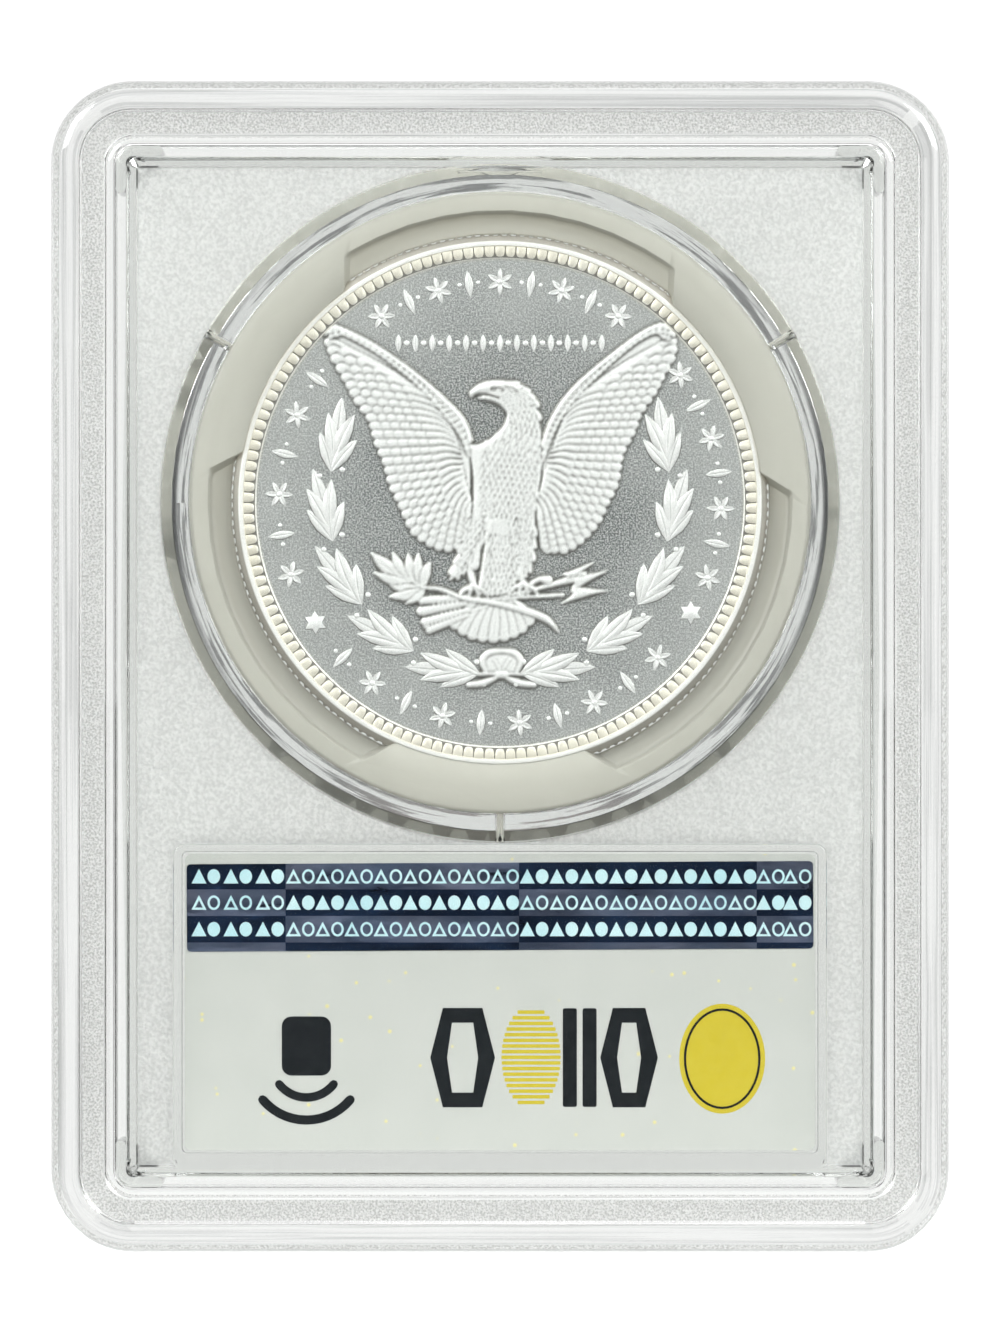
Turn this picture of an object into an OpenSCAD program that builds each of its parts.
// Graded coin slab: two clear shells welded round a two-part frosted core,
// which holds a coin in a three-prong gasket above a laminated label.
// The slab stands on its lower edge: X across, Y through the thickness, Z up.
// The side that shows the label's foil strip faces -Y and is called the back.

/* [Slab] */
// Overall width of the slab
slab_w = 63.5; // [60:0.5:90]
// Overall height of the slab
slab_h = 82.8; // [79:0.1:120]
// Radius of the slab's corners, seen from the front
corner_r = 5.8; // [5:0.1:9]
// Thickness of the clear window of each shell
shell_t = 1.07; // [0.8:0.01:2]
// How far the stacking rim stands above the window
rim_step = 0.6; // [0.3:0.05:1.5]
// Width of the stacking rim
rim_w = 2.25; // [1.8:0.05:3]
// Width of the frosted band inside the rim
band_w = 1.5; // [1:0.05:3]
// Height of the frosted band above the window
band_step = 0.15; // [0.05:0.05:0.4]
// Width of the ledge between the band and the cavity wall
ledge_w = 0.65; // [0.4:0.05:1.5]

/* [Weld] */
// Width of the weld tongue on the back shell
tongue_w = 0.8; // [0.5:0.05:1.2]
// Height of the weld tongue
tongue_h = 0.9; // [0.5:0.05:1.4]
// Side clearance of the tongue in its groove
tongue_gap = 0.05; // [0.02:0.01:0.15]

/* [Core] */
// Gap all round between the core and the cavity wall
core_gap = 0.9; // [0.4:0.05:1.5]
// Thickness of the wall round the core
core_wall = 0.8; // [0.5:0.05:1.5]
// Thickness of the clear window over the coin in each core half
core_window_t = 0.85; // [0.5:0.05:1.5]
// Thickness of the frosted panel
panel_t = 0.8; // [0.5:0.05:1]
// How far the frosted panel lies below the core's wall
panel_drop = 0.25; // [0.1:0.05:0.5]
// Thickness of the ring wall round the gasket
ring_wall = 1.9; // [1:0.1:3]
// Distance from the top of the core to the top of the ring wall
ring_inset = 0.5; // [0:0.1:2]
// Clearance between a corner lug and the cavity wall
lug_gap = 0.1; // [0.05:0.05:0.3]
// Length of each arm of a corner lug
lug_len = 3; // [2:0.1:5]
// Radius of the two locating pins between the core halves
pin_r = 0.45; // [0.3:0.05:0.6]
// Height of a locating pin
pin_h = 0.9; // [0.5:0.05:1.2]
// Clearance round a locating pin
pin_gap = 0.06; // [0.02:0.01:0.15]

/* [Coin] */
// Diameter of the coin over its reeds
coin_d = 38.1; // [24:0.1:40]
// Thickness of the coin at its rim
coin_t = 2.4; // [1.8:0.05:3.2]
// Number of reeds round the edge
reeds = 189; // [90:1:220]
// Depth of a reed
reed_depth = 0.12; // [0.05:0.01:0.2]
// Width of the flat crest of the rim
crest_w = 0.5; // [0.3:0.05:1]
// Width of the bevel outside the crest
bevel_w = 0.5; // [0.3:0.05:0.8]
// Width of the beaded band inside the crest
bead_w = 0.75; // [0.4:0.05:1.5]
// Depth of the field below the crest
field_drop = 0.22; // [0.1:0.01:0.35]

/* [Gasket] */
// Width of the gasket from the coin's edge to the ring wall
gasket_w = 3.05; // [2:0.05:5]
// Running clearance between the coin's edge and the prongs
coin_gap = 0.04; // [0.01:0.01:0.1]
// Clearance between the gasket and the ring wall
gasket_gap = 0.05; // [0.02:0.01:0.15]
// Clearance between a lip and the face of the coin's rim
lip_gap = 0.03; // [0.01:0.01:0.1]
// Thickness of the lip that laps over the coin's rim
lip_t = 0.22; // [0.15:0.01:0.4]
// How far a lip reaches in over the coin's rim
lip_w = 0.5; // [0.2:0.05:0.9]
// Width of each of the three openings between the prongs
opening_w = 23.3; // [12:0.1:26]
// Depth of those openings outside the coin's edge
opening_depth = 1.55; // [0.8:0.05:1.9]
// Thickness of the web that closes the openings halfway through
web_t = 0.5; // [0.3:0.05:0.9]
// Angle by which the prongs trail their ears
prong_lag = 2.3; // [0:0.1:5]
// Width of an ear that stops the gasket turning
ear_w = 0.5; // [0.3:0.05:1]
// Clearance on each side of an ear
ear_gap = 0.08; // [0.03:0.01:0.2]

/* [Label] */
// Width of the label
label_w = 44.7; // [30:0.1:47]
// Clearance round the label in its pocket
label_gap = 0.2; // [0.1:0.05:0.5]
// Width of the frame round the pocket
frame_w = 0.55; // [0.4:0.05:1.5]
// Space between the ring wall and the top of the frame
frame_gap = 0.15; // [0:0.05:2]
// Distance from the core's lower wall up to the pocket
label_foot = 0.8; // [0.5:0.1:4]
// Thickness of each paper ply
ply_t = 0.16; // [0.08:0.01:0.25]
// Height of the foil strip
strip_h = 6.2; // [3:0.1:9]
// Thickness of the foil strip
strip_t = 0.04; // [0.02:0.01:0.08]
// Distance of the strip below the label's top edge
strip_inset = 0.6; // [0.3:0.1:4]
// Tilt of the strip as it was stuck down
strip_tilt = 0.3; // [0:0.1:1]

/* [Tag] */
// Thickness of the plastic film between the plies
film_t = 0.08; // [0.04:0.01:0.15]
// Thickness of the metal trace
trace_t = 0.04; // [0.02:0.01:0.08]
// Width of the trace
trace_w = 0.4; // [0.2:0.05:0.8]
// Space between the turns
trace_gap = 0.35; // [0.2:0.05:0.8]
// Outside size of the square coil
coil_size = 16; // [10:0.5:19]
// Number of turns
turns = 4; // [2:1:6]
// Distance from the label's centre to the coil's centre
coil_x = 13.7; // [11:0.1:14]
// Thickness of the chip module
chip_t = 0.09; // [0.05:0.01:0.12]

/* [Hidden] */
$fn = 96;

// Heights above the middle plane of the slab, worked out from the coin outwards
chamber_h = coin_t / 2 + lip_gap + lip_t;
core_h = chamber_h + core_window_t;
shell_out = core_h + shell_t;
rim_h = shell_out + rim_step;
band_h = shell_out + band_step;
panel_h = core_h - panel_drop;

// Distances in from the slab's outline
cavity_in = rim_w + band_w + ledge_w;
core_in = cavity_in + core_gap;

// Radii about the middle of the coin
coin_r = coin_d / 2;
chamber_r = coin_r + gasket_w;
ring_r = chamber_r + ring_wall;
gasket_r = chamber_r - gasket_gap;
crest_r = coin_r - bevel_w;
bead_r = crest_r - crest_w;
field_r = bead_r - bead_w;
coin_z = slab_h - core_in - ring_inset - ring_r;
ear_angles = [30, 150, 270];

// The label's stack, centred on the middle plane with a little air in front
stack_t = strip_t + ply_t + film_t + trace_t + ply_t;
label_air = 0.02;
recess_h = (stack_t + label_air) / 2;
back_ply_h = recess_h - strip_t;
film_h = back_ply_h - ply_t;
trace_h = film_h - film_t;
front_ply_h = trace_h - trace_t;
frame_in = label_w / 2 + label_gap;
frame_top = coin_z - ring_r - frame_gap;
label_top = frame_top - frame_w - label_gap;
label_bottom = core_in + core_wall + label_foot + label_gap;
label_h = label_top - label_bottom;
label_z = (label_top + label_bottom) / 2;
pitch = trace_w + trace_gap;
chip_w = (turns - 1) * pitch + trace_w + 0.3;
chip_h = 1.2;
seam_cut = 0.1;
pin_z = slab_h / 2 + 0.4;
boss_r = 0.85;

// The parts are drawn lying down, with their height above the middle plane
// along Z, and this stands them up so that the back faces -Y.
module upright() {
    rotate([90, 0, 0]) children();
}

module rounded(w, h, r) {
    square([w - 2 * r, h], center = true);
    square([w, h - 2 * r], center = true);
    for (x = [-1, 1], y = [-1, 1])
        translate([x * (w / 2 - r), y * (h / 2 - r)]) circle(r, $fn = 48);
}

// The slab's outline, set in by a distance, with concentric corners
module outline(inset) {
    translate([0, slab_h / 2])
        rounded(slab_w - 2 * inset, slab_h - 2 * inset, max(corner_r - inset, 0.5));
}

// A profile of [distance in, height] points carried round the slab's outline
module carried_round(points) {
    profile = [for (p = points) [corner_r - p[0], p[1]]];
    across = slab_w / 2 - corner_r;
    long = slab_h - 2 * corner_r;
    centres = [[across, slab_h - corner_r], [-across, slab_h - corner_r],
               [-across, corner_r], [across, corner_r]];
    for (k = [0 : 3])
        translate(centres[k]) rotate(90 * k) {
            rotate_extrude(angle = 90) polygon(profile);
            rotate([90, 0, 0])
                linear_extrude(k % 2 == 0 ? long : 2 * across) polygon(profile);
        }
}

// Outer face of a shell, from the seam up over the rim and down to the cavity wall
function shell_face() = concat(
    [[seam_cut, 0], [0, seam_cut]],
    [for (a = [0 : 15 : 90]) [1.45 * (1 - cos(a)), rim_h - 1.6 * (1 - sin(a))]],
    [[rim_w - 0.25, rim_h], [rim_w - 0.07, rim_h - 0.07], [rim_w, rim_h - 0.2], [rim_w, band_h]],
    [[rim_w + band_w, band_h], [rim_w + band_w + 0.2, shell_out], [cavity_in, shell_out]],
    [[cavity_in, 0]]);

weld_in = rim_w + band_w / 2;
tongue = [[weld_in + tongue_w / 2, 0], [weld_in + tongue_w / 2 - 0.15, -tongue_h],
          [weld_in - tongue_w / 2 + 0.15, -tongue_h], [weld_in - tongue_w / 2, 0]];
groove_w = tongue_w / 2 + tongue_gap;
groove_h = tongue_h + tongue_gap;
groove = [[weld_in + groove_w, 0], [weld_in + groove_w - 0.15, groove_h],
          [weld_in - groove_w + 0.15, groove_h], [weld_in - groove_w, 0]];

module shell(seam) {
    carried_round(concat(shell_face(), seam));
    translate([0, 0, core_h]) linear_extrude(shell_t) outline(cavity_in - 0.4);
}

module outer_shell_back() {
    color([0.9, 0.93, 0.93, 0.4]) upright() shell(tongue);
}

module outer_shell_front() {
    color([0.88, 0.92, 0.93, 0.4]) upright() mirror([0, 0, 1]) shell(groove);
}

// Both core halves are the same moulding but for their pins and sockets
module corner_lugs() {
    out = cavity_in + lug_gap;
    end_r = (core_in - out) / 2;
    for (x = [-1, 1], top = [0, 1])
        translate([0, top * slab_h]) mirror([x < 0 ? 1 : 0, 0]) mirror([0, 1 - top])
            translate([slab_w / 2 - out, -out]) {
                difference() {
                    translate([-lug_len, -lug_len]) square(lug_len);
                    translate([-1.3, -1.3]) difference() {
                        square(2);
                        circle(1.3, $fn = 48);
                    }
                }
                translate([-end_r, -lug_len]) circle(end_r, $fn = 32);
                translate([-lug_len, -end_r]) circle(end_r, $fn = 32);
            }
}

module label_frame() {
    bottom = core_in + core_wall / 2;
    translate([0, (frame_top + bottom) / 2])
        rounded(2 * (frame_in + frame_w), frame_top - bottom, 0.8);
}

module at_pins() {
    for (x = [-1, 1])
        translate([x * (slab_w / 2 - core_in - core_wall / 2), pin_z, 0]) children();
}

module core_half() {
    difference() {
        union() {
            linear_extrude(core_h) difference() {
                outline(core_in);
                outline(core_in + core_wall);
            }
            translate([0, 0, panel_h - panel_t])
                linear_extrude(panel_t) outline(core_in + core_wall / 2);
            linear_extrude(panel_h - panel_t / 2) difference() {
                corner_lugs();
                outline(core_in + core_wall);
            }
            translate([0, coin_z, 0]) cylinder(r = ring_r, h = core_h, $fn = 180);
            linear_extrude(core_h) label_frame();
            at_pins() cylinder(r = boss_r, h = core_h - 0.1, $fn = 48);
        }
        translate([0, coin_z, -1]) cylinder(r = chamber_r, h = chamber_h + 1, $fn = 180);
        translate([0, label_z, -1]) linear_extrude(recess_h + 1)
            rounded(2 * frame_in, label_h + 2 * label_gap, 0.4);
        for (a = ear_angles)
            translate([0, coin_z, -1]) rotate(a) translate([chamber_r - 1, -ear_w / 2 - ear_gap, 0])
                cube([ring_wall + 1.2, ear_w + 2 * ear_gap, chamber_h + 1]);
    }
}

module core_back() {
    color([0.86, 0.88, 0.87, 0.7]) upright() {
        core_half();
        at_pins() translate([0, 0, -pin_h]) cylinder(r = pin_r, h = pin_h + 0.2, $fn = 48);
    }
}

module core_front() {
    color([0.82, 0.85, 0.85, 0.7]) upright() mirror([0, 0, 1]) difference() {
        core_half();
        at_pins() translate([0, 0, -1])
            cylinder(r = pin_r + pin_gap, h = pin_h + 1 + pin_gap, $fn = 48);
    }
}

// A soft ring whose three prongs lap over the coin's rim on both faces
module gasket() {
    lip_r = coin_r - lip_w;
    groove_r = coin_r + coin_gap;
    lip_h = chamber_h - lip_t;
    color([0.9, 0.89, 0.82, 0.6]) upright() translate([0, coin_z, 0]) {
        difference() {
            rotate_extrude($fn = 180)
                polygon([[lip_r, chamber_h], [lip_r, lip_h], [groove_r, lip_h], [groove_r, -lip_h],
                         [lip_r, -lip_h], [lip_r, -chamber_h], [gasket_r - 0.3, -chamber_h],
                         [gasket_r, 0.3 - chamber_h], [gasket_r, chamber_h - 0.3],
                         [gasket_r - 0.3, chamber_h]]);
            for (a = ear_angles, side = [0, 1])
                rotate(a - prong_lag + 60) mirror([0, 0, side]) translate([0, 0, web_t / 2])
                    linear_extrude(chamber_h) intersection() {
                        circle(coin_r + opening_depth, $fn = 180);
                        translate([coin_r / 2, -opening_w / 2]) square([coin_r, opening_w]);
                    }
        }
        for (a = ear_angles)
            rotate(a) translate([gasket_r - 0.4, -ear_w / 2, 0.3 - chamber_h])
                cube([ring_wall + 0.25, ear_w, 2 * (chamber_h - 0.3)]);
    }
}

// A struck disc: raised crest, beaded band, sunk fields and a reeded edge
module coin() {
    crest_h = coin_t / 2;
    field_h = crest_h - field_drop;
    edge_h = crest_h - 0.25;
    inner_r = coin_r - reed_depth - 0.05;
    half = [[field_r - 0.1, field_h], [field_r, field_h + 0.12], [bead_r, field_h + 0.14],
            [bead_r + 0.05, crest_h], [crest_r, crest_h], [inner_r, edge_h]];
    step = 360 / reeds;
    teeth = [for (i = [0 : reeds - 1], side = [0, 1])
                (coin_r - side * reed_depth) * [cos(step * (i + side / 2)), sin(step * (i + side / 2))]];
    color([0.8, 0.8, 0.78]) upright() translate([0, coin_z, 0]) {
        rotate_extrude($fn = 180) polygon(concat(
            [[0, field_h]], half,
            [for (i = [len(half) - 1 : -1 : 0]) [half[i][0], -half[i][1]]], [[0, -field_h]]));
        translate([0, 0, 0.05 - edge_h]) linear_extrude(2 * edge_h - 0.1) polygon(teeth);
    }
}

// A flat layer of the label between two heights
module layer(low, high) {
    translate([0, label_z, low]) linear_extrude(high - low) children();
}

module label_back_ply() {
    color([0.86, 0.88, 0.84]) upright()
        layer(film_h, back_ply_h) rounded(label_w, label_h, 0.5);
}

module label_front_ply() {
    color([0.9, 0.91, 0.88]) upright() difference() {
        layer(front_ply_h - ply_t, front_ply_h) rounded(label_w, label_h, 0.5);
        translate([0, label_z, front_ply_h - chip_t - 0.01]) linear_extrude(1) chip_outline(0.1);
    }
}

module foil_strip() {
    color([0.3, 0.4, 0.6]) upright()
        layer(back_ply_h, recess_h)
            translate([0, label_h / 2 - strip_inset - strip_h / 2]) rotate(strip_tilt)
                rounded(label_w - 0.3, strip_h, 0.3);
}

module tag_film() {
    color([0.75, 0.8, 0.85, 0.6]) upright()
        layer(trace_h, film_h) rounded(label_w - 1, label_h - 1, 0.5);
}

// One bar of the coil, drawn from corner to corner with the trace's width
module bar(a, b) {
    low = [min(a[0], b[0]), min(a[1], b[1])];
    size = [abs(a[0] - b[0]), abs(a[1] - b[1])];
    translate(low - [trace_w / 2, trace_w / 2]) square(size + [trace_w, trace_w]);
}

module tag_antenna() {
    edge = (coil_size - trace_w) / 2;
    color([0.85, 0.6, 0.35]) upright()
        layer(front_ply_h, trace_h) translate([-coil_x, 0])
            for (k = [0 : turns - 1]) {
                now = edge - k * pitch;
                next = now - pitch;
                bar([-now, now], [now, now]);
                bar([now, now], [now, -now]);
                bar([now, -now], [-now, -now]);
                if (k < turns - 1) {
                    bar([-now, -now], [-now, next]);
                    bar([-now, next], [-next, next]);
                }
            }
}

// The chip module spans the turns, from the first to the last
module chip_outline(grow) {
    middle = (coil_size - trace_w) / 2 - (turns - 1) * pitch / 2;
    translate([-coil_x, -middle]) square([chip_h + 2 * grow, chip_w + 2 * grow], center = true);
}

module tag_chip() {
    color([0.15, 0.15, 0.17]) upright()
        translate([0, label_z, front_ply_h - chip_t]) linear_extrude(chip_t) chip_outline(0);
}

outer_shell_back();
outer_shell_front();
core_back();
core_front();
gasket();
coin();
label_back_ply();
label_front_ply();
foil_strip();
tag_film();
tag_antenna();
tag_chip();
